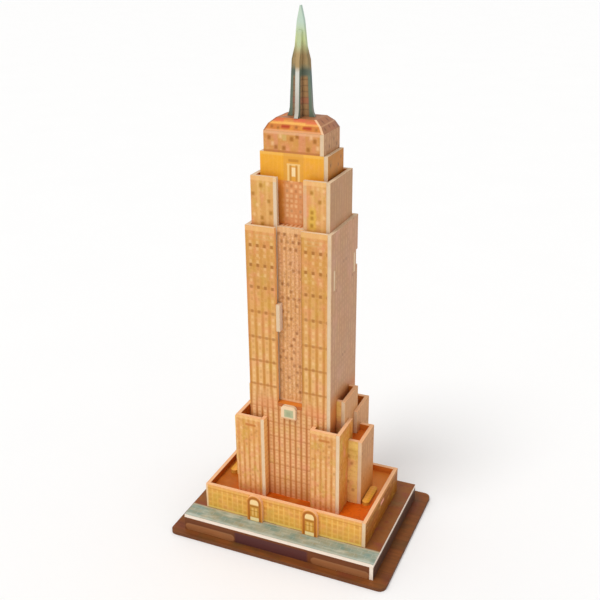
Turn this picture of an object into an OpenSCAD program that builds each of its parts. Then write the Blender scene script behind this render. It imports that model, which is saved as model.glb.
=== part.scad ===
// Press-fit foam-board model of a stepped tower on a two-level plinth.
// Every board is one flat piece; tabs on one board sit in slots of the next.
// Front and back boards cover the ends of left boards, and right boards cover theirs.
// Lengths in millimetres, front is -Y, up is +Z, origin under the middle of the base board.

/* [Board] */
// Thickness of every board
board = 3; // [2.5:0.1:3.2]
// Play added at each end of a slot
play = 0.1; // [0:0.05:0.3]
// Length of a common locking tab
tab = 12; // [8:1:14]

/* [Base] */
// Width of the rounded bottom board
base_width = 182; // [172:1:200]
// Depth of the rounded bottom board
base_depth = 128; // [121:1:150]
// Corner radius of the bottom board
base_corner = 5.5; // [2:0.5:12]
// Open height between the bottom board and the street board
base_gap = 11.5; // [8:0.5:16]
// Width of the street board
street_width = 160; // [150:1:170]
// Depth of the street board
street_depth = 110; // [104:1:114]
// Forward offset of the street board on the bottom board
street_shift = -2.5; // [-4:0.5:0]

/* [Podium] */
// Width over the podium walls
podium_width = 136; // [132:1:144]
// Depth over the podium walls
podium_depth = 80; // [78:1:88]
// Forward offset of the podium
podium_shift = -1.5; // [-2:0.5:0]
// Height of the podium walls above the street board
podium_height = 22; // [20:0.5:26]
// Height of the parapet above the podium roof
parapet = 5; // [4:0.5:7]
// Width of a door arch
door_width = 13; // [11:0.5:15]
// Height of a door arch
door_height = 23.5; // [21:0.5:26]
// Distance of each door from the middle
door_offset = 23.5; // [20:0.5:30]

/* [Wings] */
// Width over the four corner wings
wing_width = 86; // [84:1:90]
// Depth over the four corner wings
wing_depth = 66.6; // [64:0.2:70]
// Height of the corner wings above the street board
wing_height = 87; // [80:1:92]
// Distance between the two inner wing boards
wing_inner = 38; // [34:1:42]
// Open gap between the front and the rear wing on each side
wing_gap = 10; // [8:1:12]

/* [Annexes] */
// Width over the two low side annexes
annex_width = 108; // [104:1:112]
// Depth of a side annex
annex_depth = 29; // [26:0.5:32]
// Height of the low part of an annex above the street board
annex_low = 73; // [70:1:78]
// Width over the high parts of the annexes
annex_high_width = 80; // [79:1:81]
// Height of the high part of an annex above the street board
annex_high = 105; // [100:1:110]
// Height of the floor inside the low part of an annex
annex_floor = 68; // [66:1:72]

/* [Shaft] */
// Rearward offset of the whole tower on the bottom board
tower_shift = 1; // [0:0.5:2]
// Width of the shaft
shaft_width = 66; // [64:1:68]
// Depth of the shaft
shaft_depth = 54; // [52:1:58]
// Height of the shaft above the street board
shaft_height = 240; // [236:1:244]
// Width of the long recess in the front and back of the shaft
recess_width = 20; // [18:1:22]
// Height where the long recess starts
recess_start = 101; // [100:1:106]

/* [Upper tiers] */
// Depth of the upper tier
upper_depth = 44; // [42:1:46]
// Height of the upper tier above the street board
upper_height = 275; // [270:1:280]
// Width of the crown tier
crown_width = 51; // [50:1:53]
// Depth of the crown tier
crown_depth = 30; // [28:1:32]
// Height of the crown tier above the street board
crown_height = 291; // [288:1:295]
// Height of the top of the straight walls above the street board
eaves_height = 305.5; // [300:0.5:310]
// Height of the flat top of the hipped roof above the street board
plateau_height = 314; // [311:0.5:318]
// Width of the flat top of the hipped roof
plateau_width = 30; // [26:1:32]
// Depth of the flat top of the hipped roof
plateau_depth = 19; // [17:1:21]

/* [Spire] */
// Height of the spire tip above the street board
tip_height = 386.5; // [380:0.5:390]
// Height of the spire shoulder above the street board
shoulder_height = 352; // [348:1:356]
// Width of the spire just above its feet
fin_base_width = 16.6; // [15:0.2:20]
// Width of the spire at its shoulder
fin_shoulder_width = 13; // [11:0.2:15]
// Width of the spire where the needle starts
needle_width = 8.4; // [7.2:0.2:9.6]

/* [Hidden] */
street_low = board + base_gap;
street_top = street_low + board;
street_x = street_width / 2;
street_front = street_shift - street_depth / 2;
street_back = street_shift + street_depth / 2;
pod_x = podium_width / 2;
pod_front = podium_shift - podium_depth / 2;
pod_back = podium_shift + podium_depth / 2;
deck = podium_height - parapet;
wing_x = wing_width / 2;
wing_y = wing_depth / 2;
inner_x = wing_inner / 2;
lap = (deck + wing_height) / 2;
annex_x = annex_width / 2;
annex_y = annex_depth / 2;
high_x = annex_high_width / 2;
annex_lap = (deck + annex_low) / 2;
shaft_x = shaft_width / 2;
shaft_y = shaft_depth / 2;
recess_x = recess_width / 2;
upper_x = shaft_x - board;
upper_y = upper_depth / 2;
crown_x = crown_width / 2;
crown_y = crown_depth / 2;
top_x = crown_x - board;
plate_high = shaft_height - board;

// Places of the locking tabs
base_tab_x = 0.28 * street_width;
base_tab_y = 0.25 * street_depth;
podium_tab_x = 0.33 * podium_width;
podium_tab_y = 0.3 * podium_depth;
roof_tab = 8;
wing_foot = 8;
wing_foot_y = wing_y - wing_foot;
wing_mid = (inner_x + wing_x) / 2;
inner_foot = 10;
inner_foot_y = shaft_y / 2;
annex_foot = 7;
annex_foot_x = (wing_x + annex_x - board) / 2;
annex_lock_low = annex_low - 15;
annex_lock_high = annex_low - 5;
lock_low = shaft_height - 43;
lock_high = shaft_height - 28;
rear_lock_low = shaft_height - 39;
rear_lock_high = shaft_height - 27;
rear_tab = 1;
core_x = recess_x - board;
core_low = recess_start + 59.5;
core_high = core_low + 21.5;

// Small pieces
skylight_x = annex_x + 3.6;
skylight_radius = 3;
skylight_y = [podium_shift - 9.5, podium_shift + 8.5];
crest_width = 12;
crest_height = 11;
crest_radius = 3;
crest_low = recess_start - crest_height;

// The roof slopes fold after this share of their rise and of their run
fold_rise = 0.56;
fold_travel = 0.38;

// Spire laps: the deep fin stops below the needle tip
fin_lap = shoulder_height - 2;
fin_cut = tip_height - 15.5;
fin_tab = 14;
fin_flare = 2;

// ---- helpers ----

// Board facing front: outline drawn as (x, height), front face at y
module board_y(y) {
  translate([0, y + board, 0])
    rotate([90, 0, 0])
      linear_extrude(height = board)
        children();
}

// Board facing sideways: outline drawn as (y, height), left face at x
module board_x(x) {
  translate([x, 0, 0])
    rotate([90, 0, 90])
      linear_extrude(height = board)
        children();
}

// Level board: outline drawn as (x, y), lower face at z
module board_z(z) {
  translate([0, 0, z])
    linear_extrude(height = board)
      children();
}

// Rectangle from two corners
module block(a0, a1, b0, b1) {
  translate([a0, b0])
    square([a1 - a0, b1 - b0]);
}

// Slot that is one board thick along the first axis
module slot_up(a0, a1, b0, b1) {
  block(a0, a1, b0 - play, b1 + play);
}

// Slot that is one board thick along the second axis
module slot_flat(a0, a1, b0, b1) {
  block(a0 - play, a1 + play, b0, b1);
}

// Foot tab that drops into the podium roof
module foot(a, length) {
  block(a - length / 2, a + length / 2, deck - board, deck);
}

// Rectangle whose two top corners are rounded
module arch(width, height, radius) {
  hull() {
    block(-width / 2, width / 2, 0, height - radius);
    for (x = [radius - width / 2, width / 2 - radius])
      translate([x, height - radius])
        circle(r = radius, $fn = 32);
  }
}

// Heights counted from the street board
module on_street() {
  translate([0, 0, street_top])
    children();
}

// Same, centred on the tower axis
module on_tower() {
  translate([0, tower_shift, street_top])
    children();
}

module flip_x() {
  mirror([1, 0, 0])
    children();
}

// ---- base ----

module base_board() {
  color("#5b3320")
    board_z(0)
      difference() {
        offset(r = base_corner, $fn = 64)
          square([base_width - 2 * base_corner, base_depth - 2 * base_corner], center = true);
        for (x = [-base_tab_x, base_tab_x])
          for (y = [street_front, street_back - board])
            slot_flat(x - tab / 2, x + tab / 2, y, y + board);
        for (x = [-street_x, street_x - board])
          for (y = [street_shift - base_tab_y, street_shift + base_tab_y])
            slot_up(x, x + board, y - tab / 2, y + tab / 2);
      }
}

module base_long_panel_outline() {
  block(-street_x, street_x - board, board, street_low);
  for (x = [-base_tab_x, base_tab_x])
    block(x - tab / 2, x + tab / 2, 0, board);
}

module base_front_panel() {
  color("#6e3d22")
    board_y(street_front)
      base_long_panel_outline();
}

module base_back_panel() {
  color("#6e3d22")
    board_y(street_back - board)
      base_long_panel_outline();
}

module base_short_panel_outline(inset) {
  block(street_front + inset, street_back - inset, board, street_low);
  for (y = [street_shift - base_tab_y, street_shift + base_tab_y])
    block(y - tab / 2, y + tab / 2, 0, board);
}

module base_right_panel() {
  color("#643620")
    board_x(street_x - board)
      base_short_panel_outline(0);
}

module base_left_panel() {
  color("#643620")
    board_x(-street_x)
      base_short_panel_outline(board);
}

module street_board() {
  color("#8b9a8c")
    board_z(street_low)
      difference() {
        block(-street_x, street_x, street_front, street_back);
        for (x = [-podium_tab_x, 0, podium_tab_x])
          for (y = [pod_front, pod_back - board])
            slot_flat(x - tab / 2, x + tab / 2, y, y + board);
        for (x = [-pod_x, pod_x - board])
          for (y = [podium_shift - podium_tab_y, podium_shift + podium_tab_y])
            slot_up(x, x + board, y - tab / 2, y + tab / 2);
      }
}

// ---- podium ----

module podium_long_wall_outline() {
  difference() {
    union() {
      block(-pod_x, pod_x - board, 0, podium_height);
      for (x = [-podium_tab_x, 0, podium_tab_x])
        block(x - tab / 2, x + tab / 2, -board, 0);
    }
    for (x = [-door_offset, door_offset])
      slot_flat(x - roof_tab / 2, x + roof_tab / 2, deck - board, deck);
  }
}

module podium_front_wall() {
  color("#dba23e")
    on_street()
      board_y(pod_front)
        podium_long_wall_outline();
}

module podium_back_wall() {
  color("#dba23e")
    on_street()
      board_y(pod_back - board)
        podium_long_wall_outline();
}

module podium_side_wall_outline(inset) {
  difference() {
    union() {
      block(pod_front + inset, pod_back - inset, 0, podium_height);
      for (y = [podium_shift - podium_tab_y, podium_shift + podium_tab_y])
        block(y - tab / 2, y + tab / 2, -board, 0);
    }
    slot_flat(podium_shift - roof_tab / 2, podium_shift + roof_tab / 2, deck - board, deck);
  }
}

module podium_right_wall() {
  color("#b37a2e")
    on_street()
      board_x(pod_x - board)
        podium_side_wall_outline(0);
}

module podium_left_wall() {
  color("#b37a2e")
    on_street()
      board_x(-pod_x)
        podium_side_wall_outline(board);
}

module podium_roof() {
  color("#d2561c")
    on_street()
      board_z(deck - board)
        difference() {
          union() {
            block(board - pod_x, pod_x - board, pod_front + board, pod_back - board);
            block(-pod_x, pod_x, podium_shift - roof_tab / 2, podium_shift + roof_tab / 2);
            for (x = [-door_offset, door_offset])
              block(x - roof_tab / 2, x + roof_tab / 2, pod_front, pod_back);
          }
          translate([0, tower_shift])
            podium_roof_slots();
        }
}

module podium_roof_slots() {
  for (y = [-shaft_y, shaft_y - board])
    slot_flat(-tab / 2, tab / 2, y, y + board);
  for (side = [-1, 1])
    scale([side, 1])
      podium_roof_side_slots();
}

module podium_roof_side_slots() {
  slot_up(shaft_x - board, shaft_x, -tab / 2, tab / 2);
  slot_up(annex_x - board, annex_x, -tab / 2, tab / 2);
  slot_up(high_x - board, high_x, -tab / 2, tab / 2);
  for (y = [-inner_foot_y, inner_foot_y])
    slot_up(inner_x, inner_x + board, y - inner_foot / 2, y + inner_foot / 2);
  for (y = [-wing_y, wing_y - board])
    slot_flat(wing_mid - wing_foot / 2, wing_mid + wing_foot / 2, y, y + board);
  for (y = [-wing_foot_y, wing_foot_y])
    slot_up(wing_x - board, wing_x, y - wing_foot / 2, y + wing_foot / 2);
  for (y = [-annex_y, annex_y - board])
    slot_flat(annex_foot_x - annex_foot / 2, annex_foot_x + annex_foot / 2, y, y + board);
}

module door_right() {
  color("#e7b357")
    on_street()
      board_y(pod_front - board)
        translate([door_offset, 0])
          arch(door_width, door_height, door_width / 2);
}

module door_left() {
  flip_x()
    door_right();
}

module skylight_right() {
  color("#e0b93f")
    on_street()
      board_z(deck)
        hull()
          for (y = skylight_y)
            translate([skylight_x, y])
              circle(r = skylight_radius, $fn = 32);
}

module skylight_left() {
  flip_x()
    skylight_right();
}

// ---- corner wings ----

module wing_right_outline() {
  block(inner_x, wing_x - board, deck, wing_height);
  foot(wing_mid, wing_foot);
}

module wing_left_outline() {
  block(-wing_x, -inner_x - board, deck, wing_height);
  foot(-wing_mid, wing_foot);
}

module wing_front_right() {
  color("#e0a24c")
    on_tower()
      board_y(-wing_y)
        wing_right_outline();
}

module wing_front_left() {
  color("#e0a24c")
    on_tower()
      board_y(-wing_y)
        wing_left_outline();
}

module wing_back_right() {
  color("#e0a24c")
    on_tower()
      board_y(wing_y - board)
        wing_right_outline();
}

module wing_back_left() {
  color("#e0a24c")
    on_tower()
      board_y(wing_y - board)
        wing_left_outline();
}

module wing_side_outline(inset) {
  difference() {
    union() {
      block(wing_gap / 2, wing_y - inset, deck, wing_height);
      foot(wing_foot_y, wing_foot);
    }
    block(annex_y - board, annex_y, deck - 1, annex_lap);
  }
}

module wing_side_front_right() {
  color("#b98254")
    on_tower()
      board_x(wing_x - board)
        mirror([1, 0])
          wing_side_outline(0);
}

module wing_side_front_left() {
  color("#b98254")
    on_tower()
      board_x(-wing_x)
        mirror([1, 0])
          wing_side_outline(board);
}

module wing_side_back_right() {
  color("#b98254")
    on_tower()
      board_x(wing_x - board)
        wing_side_outline(0);
}

module wing_side_back_left() {
  color("#b98254")
    on_tower()
      board_x(-wing_x)
        wing_side_outline(board);
}

module wing_inner_outline(inset) {
  difference() {
    union() {
      block(inset - wing_y, wing_y - inset, deck, wing_height);
      foot(-inner_foot_y, inner_foot);
      foot(inner_foot_y, inner_foot);
    }
    for (y = [-shaft_y, shaft_y - board])
      block(y, y + board, lap, wing_height + 1);
  }
}

module wing_inner_right() {
  color("#c48a58")
    on_tower()
      board_x(inner_x)
        wing_inner_outline(board);
}

module wing_inner_left() {
  color("#c48a58")
    on_tower()
      board_x(-inner_x - board)
        wing_inner_outline(0);
}

// ---- side annexes ----

// Drawn for the right side; both outer ends reach on by cover, over the next board
module annex_step_outline(cover) {
  difference() {
    union() {
      block(shaft_x, annex_x - board + cover, deck, annex_low);
      block(shaft_x, high_x - board + cover, annex_low, annex_high);
      block(shaft_x - board, shaft_x, annex_lock_low, annex_lock_high);
      foot(annex_foot_x, annex_foot);
    }
    block(wing_x - board, wing_x, annex_lap, annex_low + 1);
  }
}

module annex_right_front() {
  color("#dc9f4e")
    on_tower()
      board_y(-annex_y)
        annex_step_outline(0);
}

module annex_left_front() {
  color("#dc9f4e")
    on_tower()
      board_y(-annex_y)
        mirror([1, 0])
          annex_step_outline(board);
}

module annex_right_back() {
  color("#dc9f4e")
    on_tower()
      board_y(annex_y - board)
        annex_step_outline(0);
}

module annex_left_back() {
  color("#dc9f4e")
    on_tower()
      board_y(annex_y - board)
        mirror([1, 0])
          annex_step_outline(board);
}

module annex_outer_outline(inset) {
  block(inset - annex_y, annex_y - inset, deck, annex_low);
  foot(0, tab);
}

module annex_right_outer() {
  color("#b98254")
    on_tower()
      board_x(annex_x - board)
        annex_outer_outline(0);
}

module annex_left_outer() {
  color("#b98254")
    on_tower()
      board_x(-annex_x)
        annex_outer_outline(board);
}

module annex_high_outline(inset) {
  difference() {
    union() {
      block(board - annex_y, annex_y - board, deck, annex_low);
      block(inset - annex_y, annex_y - inset, annex_low, annex_high);
      foot(0, tab);
    }
    slot_flat(play - wing_gap / 2, wing_gap / 2 - play, annex_floor - board, annex_floor);
  }
}

module annex_right_high() {
  color("#b98254")
    on_tower()
      board_x(high_x - board)
        annex_high_outline(0);
}

module annex_left_high() {
  color("#b98254")
    on_tower()
      board_x(-high_x)
        annex_high_outline(board);
}

module annex_right_floor() {
  color("#cf641f")
    on_tower()
      board_z(annex_floor - board) {
        block(wing_x, annex_x - board, board - annex_y, annex_y - board);
        block(high_x - board, wing_x, play - wing_gap / 2, wing_gap / 2 - play);
      }
}

module annex_left_floor() {
  flip_x()
    annex_right_floor();
}

// ---- shaft ----

module shaft_face_outline() {
  difference() {
    union() {
      block(-shaft_x, shaft_x - board, deck, shaft_height);
      foot(0, tab);
    }
    block(-recess_x, recess_x, recess_start - board, shaft_height + 1);
    for (x = [-inner_x - board, inner_x])
      block(x, x + board, deck - 1, lap);
  }
}

module shaft_front() {
  color("#dc9a4c")
    on_tower()
      board_y(-shaft_y)
        shaft_face_outline();
}

module shaft_back() {
  color("#dc9a4c")
    on_tower()
      board_y(shaft_y - board) {
        shaft_face_outline();
        block(shaft_x - board, shaft_x - board + rear_tab, rear_lock_low, rear_lock_high);
      }
}

module shaft_side_outline(inset) {
  difference() {
    union() {
      block(inset - shaft_y, shaft_y - inset, deck, shaft_height);
      foot(0, tab);
    }
    for (y = [-upper_y, upper_y - board])
      slot_up(y, y + board, lock_low, lock_high);
    for (y = [-annex_y, annex_y - board])
      slot_up(y, y + board, annex_lock_low, annex_lock_high);
  }
}

module shaft_right() {
  color("#b88460")
    on_tower()
      board_x(shaft_x - board)
        difference() {
          shaft_side_outline(0);
          slot_up(shaft_y - board, shaft_y + 1, rear_lock_low, rear_lock_high);
        }
}

module shaft_left() {
  color("#b88460")
    on_tower()
      board_x(-shaft_x)
        shaft_side_outline(board);
}

module shaft_crest() {
  color("#a9b59a")
    on_tower()
      board_y(-shaft_y - board)
        translate([0, crest_low])
          arch(crest_width, crest_height, crest_radius);
}

// ---- inner frame ----

module tier_plate_low() {
  color("#c65a22")
    on_tower()
      board_z(recess_start - board) {
        block(board - shaft_x, shaft_x - board, board - shaft_y, shaft_y - board);
        block(-recess_x, recess_x, -shaft_y, shaft_y);
      }
}

module core_left() {
  color("#e6d3b2")
    on_tower()
      board_x(-recess_x) {
        block(board - upper_y, upper_y - board, recess_start, plate_high);
        block(-shaft_y, board - upper_y, core_low, core_high);
      }
}

module core_right() {
  color("#e6d3b2")
    on_tower()
      board_x(core_x) {
        block(board - upper_y, upper_y - board, recess_start, plate_high);
        block(upper_y - board, shaft_y, core_low, core_high);
      }
}

module tier_plate_high() {
  color("#d9762c")
    on_tower()
      board_z(plate_high)
        block(board - upper_x, upper_x - board, board - upper_y, upper_y - board);
}

// ---- upper tier ----

module upper_face_outline() {
  difference() {
    union() {
      block(-upper_x, upper_x - board, recess_start, upper_height);
      block(-shaft_x, shaft_x, lock_low, lock_high);
    }
    block(-recess_x, recess_x, shaft_height, upper_height + 1);
  }
}

module upper_front() {
  color("#e2a552")
    on_tower()
      board_y(-upper_y)
        difference() {
          upper_face_outline();
          slot_up(-recess_x, board - recess_x, core_low, core_high);
        }
}

module upper_back() {
  color("#e2a552")
    on_tower()
      board_y(upper_y - board)
        difference() {
          upper_face_outline();
          slot_up(core_x, recess_x, core_low, core_high);
        }
}

module upper_right() {
  color("#bd8c64")
    on_tower()
      board_x(upper_x - board)
        difference() {
          block(-upper_y, upper_y, recess_start, upper_height);
          slot_up(-upper_y - 1, board - upper_y, lock_low, lock_high);
          slot_up(upper_y - board, upper_y + 1, lock_low, lock_high);
        }
}

module upper_left() {
  color("#bd8c64")
    on_tower()
      board_x(-upper_x)
        block(board - upper_y, upper_y - board, recess_start, upper_height);
}

// ---- crown and roof ----

module crown_face_outline() {
  block(-crown_x, crown_x - board, shaft_height, crown_height);
  block(-top_x, top_x - board, crown_height, eaves_height);
}

module crown_front() {
  color("#f0a92f")
    on_tower()
      board_y(-crown_y)
        crown_face_outline();
}

module crown_back() {
  color("#f0a92f")
    on_tower()
      board_y(crown_y - board)
        crown_face_outline();
}

module crown_right() {
  color("#bf8034")
    on_tower()
      board_x(crown_x - board)
        block(-crown_y, crown_y, shaft_height, crown_height);
}

module crown_left() {
  color("#bf8034")
    on_tower()
      board_x(-crown_x)
        block(board - crown_y, crown_y - board, shaft_height, crown_height);
}

module top_right() {
  color("#c08a4a")
    on_tower()
      board_x(top_x - board) {
        block(board - crown_y, crown_y - board, upper_height, crown_height);
        block(-crown_y, crown_y, crown_height, eaves_height);
      }
}

module top_left() {
  color("#c08a4a")
    on_tower()
      board_x(-top_x)
        block(board - crown_y, crown_y - board, upper_height, eaves_height);
}

module hipped_roof() {
  rise = plateau_height - eaves_height;
  inner_width = 2 * top_x - 2 * board;
  inner_depth = crown_depth - 2 * board;
  color("#d96a2a")
    on_tower()
      translate([0, 0, eaves_height])
        difference() {
          domed(2 * top_x, crown_depth, plateau_width, plateau_depth, rise);
          domed(inner_width, inner_depth, plateau_width - board, plateau_depth - board, rise - board);
          translate([-fin_tab / 2 - play, -board / 2, 0])
            cube([fin_tab + 2 * play, board, rise + 1]);
          translate([-board / 2, -fin_tab / 2 - play, 0])
            cube([board, fin_tab + 2 * play, rise + 1]);
        }
}

// Block with four sides that slope steeply, then less so above the fold
module domed(low_width, low_depth, high_width, high_depth, height) {
  slope_x = (low_width - high_width) * fold_travel;
  slope_y = (low_depth - high_depth) * fold_travel;
  steep_width = low_width - slope_x / fold_rise;
  steep_depth = low_depth - slope_y / fold_rise;
  wide_width = high_width + (low_width - slope_x - high_width) / (1 - fold_rise);
  wide_depth = high_depth + (low_depth - slope_y - high_depth) / (1 - fold_rise);
  intersection() {
    tapered(low_width, low_depth, steep_width, steep_depth, height);
    tapered(wide_width, wide_depth, high_width, high_depth, height);
  }
}

// Block with four sloping sides
module tapered(low_width, low_depth, high_width, high_depth, height) {
  linear_extrude(height = height, slices = 1, scale = [high_width / low_width, high_depth / low_depth])
    square([low_width, low_depth], center = true);
}

// ---- spire ----

// Full silhouette of a spire fin, drawn as (half width, height)
module fin_outline() {
  half = [
    [fin_tab / 2, plateau_height - board],
    [fin_tab / 2, plateau_height],
    [fin_base_width / 2 + fin_flare, plateau_height],
    [fin_base_width / 2 + 0.3 * fin_flare, plateau_height + 3],
    [fin_base_width / 2, plateau_height + 6],
    [fin_shoulder_width / 2, shoulder_height],
    [needle_width / 2, shoulder_height + 8.5],
    [needle_width / 4 + 0.4, tip_height - 9.5],
    [0.35, tip_height]
  ];
  left = [for (i = [len(half) - 1:-1:0]) [-half[i][0], half[i][1]]];
  polygon(concat(half, left));
}

module spire_fin_wide() {
  color("#93a08a")
    on_tower()
      board_y(-board / 2)
        difference() {
          fin_outline();
          block(-board / 2, board / 2, plateau_height - board - 1, fin_lap);
        }
}

module spire_fin_deep() {
  color("#8a957f")
    on_tower()
      board_x(-board / 2)
        difference() {
          fin_outline();
          block(-needle_width, needle_width, fin_cut, tip_height + 1);
          block(-board / 2, board / 2, fin_lap, fin_cut + 1);
        }
}

base_board();
base_front_panel();
base_back_panel();
base_left_panel();
base_right_panel();
street_board();
podium_front_wall();
podium_back_wall();
podium_left_wall();
podium_right_wall();
podium_roof();
door_left();
door_right();
skylight_left();
skylight_right();
wing_front_left();
wing_front_right();
wing_back_left();
wing_back_right();
wing_side_front_left();
wing_side_front_right();
wing_side_back_left();
wing_side_back_right();
wing_inner_left();
wing_inner_right();
annex_left_front();
annex_left_back();
annex_left_outer();
annex_left_high();
annex_left_floor();
annex_right_front();
annex_right_back();
annex_right_outer();
annex_right_high();
annex_right_floor();
shaft_front();
shaft_back();
shaft_left();
shaft_right();
shaft_crest();
tier_plate_low();
tier_plate_high();
core_left();
core_right();
upper_front();
upper_back();
upper_left();
upper_right();
crown_front();
crown_back();
crown_left();
crown_right();
top_left();
top_right();
hipped_roof();
spire_fin_wide();
spire_fin_deep();
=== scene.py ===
"""A press-fit foam-board tower model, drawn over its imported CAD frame.

Every board is rebuilt from its CAD node as a die-cut sandwich: a foam core that sits a little
behind two printed paper skins with soft, pressed edges. The prints are node patterns laid out
in millimetres over the model, so each board carries its own part of the picture.
"""
import math

import bmesh
import bpy
from mathutils import Matrix, Vector, noise


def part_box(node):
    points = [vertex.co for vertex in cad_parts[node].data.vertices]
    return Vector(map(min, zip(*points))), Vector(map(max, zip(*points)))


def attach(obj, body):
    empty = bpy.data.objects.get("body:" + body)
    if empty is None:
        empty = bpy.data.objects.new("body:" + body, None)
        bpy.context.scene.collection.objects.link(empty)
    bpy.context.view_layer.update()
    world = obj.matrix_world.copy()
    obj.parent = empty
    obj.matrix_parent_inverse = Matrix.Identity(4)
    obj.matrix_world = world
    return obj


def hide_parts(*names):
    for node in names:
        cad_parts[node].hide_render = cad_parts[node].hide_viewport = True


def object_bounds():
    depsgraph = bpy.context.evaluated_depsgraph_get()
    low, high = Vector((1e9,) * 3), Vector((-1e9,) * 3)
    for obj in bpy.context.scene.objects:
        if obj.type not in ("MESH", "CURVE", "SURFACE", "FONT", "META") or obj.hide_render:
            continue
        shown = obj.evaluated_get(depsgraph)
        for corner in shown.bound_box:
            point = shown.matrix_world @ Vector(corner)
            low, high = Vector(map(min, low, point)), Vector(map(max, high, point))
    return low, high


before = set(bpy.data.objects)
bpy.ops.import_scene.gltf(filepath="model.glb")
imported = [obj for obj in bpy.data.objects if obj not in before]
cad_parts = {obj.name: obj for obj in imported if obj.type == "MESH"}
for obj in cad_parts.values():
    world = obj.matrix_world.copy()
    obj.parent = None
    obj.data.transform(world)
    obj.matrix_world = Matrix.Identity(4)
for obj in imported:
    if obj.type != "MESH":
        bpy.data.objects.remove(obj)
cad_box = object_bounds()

MM = 0.001
SKIN = 0.35 * MM
LIP = 0.22 * MM
FOAM_STEP = 0.05 * MM
FOAM_RECESS = 0.16 * MM
FOAM_LENGTH = 5.0 * MM
SKIN_REACH = SKIN * 0.7
RIM_REACH = SKIN + FOAM_STEP * 0.2
FOLD_REACH = LIP * 0.9
UNEVEN_SIZE = 4.0 * MM
WELD = 0.01 * MM
CUT_REACH = 0.0001 * MM
FLAT = math.radians(1)
SHARP_CORNER = math.radians(10)
UPRIGHT = 0.01
FACING = 0.6
COAT_ROUGHNESS = 0.35
BUMP_STRENGTH = 0.6
SEED = 11

# ---- camera ----

CAMERA_PLACE = (0.2367, -0.5521, 0.4505)
CAMERA_TURN = math.radians(23.38)
CAMERA_DOWN = math.radians(23.08)
CAMERA_ROLL = math.radians(-0.48)
CAMERA_LENS = 52.44
SENSOR_WIDTH = 36.0


def placed(name, data):
    """A new object in the scene."""
    thing = bpy.data.objects.new(name, data)
    bpy.context.scene.collection.objects.link(thing)
    return thing


def add_camera():
    data = bpy.data.cameras.new("camera")
    data.lens = CAMERA_LENS
    data.sensor_width = SENSOR_WIDTH
    camera = placed("camera", data)
    tilt = Matrix.Rotation(math.pi / 2 - CAMERA_DOWN, 4, "X")
    turn = Matrix.Rotation(CAMERA_TURN, 4, "Z")
    roll = Matrix.Rotation(CAMERA_ROLL, 4, "Z")
    camera.matrix_world = Matrix.Translation(CAMERA_PLACE) @ turn @ tilt @ roll
    bpy.context.scene.camera = camera


# ---- colours ----


def ink(red, green, blue):
    """A printed colour, given as everyday 0 to 255 values."""
    linear = []
    for value in (red, green, blue):
        value /= 255
        linear.append(value / 12.92 if value <= 0.04045 else ((value + 0.055) / 1.055) ** 2.4)
    return (*linear, 1.0)


# ---- a small language for node patterns ----


def operation(kind):
    """A method that passes a value through one math node of this kind."""

    def method(self, *others):
        return self.graph.math(kind, self, *others)

    return method


class Value:
    """A number or colour inside a pattern, which takes part in plain arithmetic."""

    def __init__(self, graph, socket):
        self.graph = graph
        self.socket = socket

    __add__ = operation("ADD")
    __sub__ = operation("SUBTRACT")
    __mul__ = operation("MULTIPLY")
    __truediv__ = operation("DIVIDE")
    abs = operation("ABSOLUTE")
    floor = operation("FLOOR")
    above = operation("GREATER_THAN")
    below = operation("LESS_THAN")
    power = operation("POWER")
    larger = operation("MAXIMUM")
    smaller = operation("MINIMUM")

    def __rsub__(self, other):
        return self.graph.math("SUBTRACT", other, self)

    def clamped(self):
        return self.graph.math("ADD", self, 0.0, clamp=True)

    def near(self, middle, half, soft=0.22):
        """1 where this is within half of middle, with an ink-soft edge."""
        reach = (self - middle).abs()
        return ((half - reach) / soft + 0.5).clamped()

    def between(self, low, high, soft=0.22):
        return self.near((low + high) / 2, (high - low) / 2, soft)

    def rising(self, low, high):
        return ((self - low) / (high - low)).clamped()

    def cells(self, pitch, start=0.0):
        """The whole number of the cell that this is in, and the distance from the cell's middle."""
        count = ((self - start) / pitch).floor()
        return count, self - start - (count + 0.5) * pitch

    def from_cell(self, pitch, start=0.0):
        """Distance from the middle of the cell that this is in."""
        return self.cells(pitch, start)[1]

    def tint(self, amount, *shade):
        """This colour under ink of the given shade."""
        return self.graph.mix(amount, self, ink(*shade))

    def stained(self, shade, strength, *shape, limit=0.5, **more):
        """This colour under soft patches of ink, where a noise of this shape is over its limit."""
        patches = self.graph.noise(*shape, **more) - limit
        return self.tint(patches.clamped() * strength, *shade)


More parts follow.
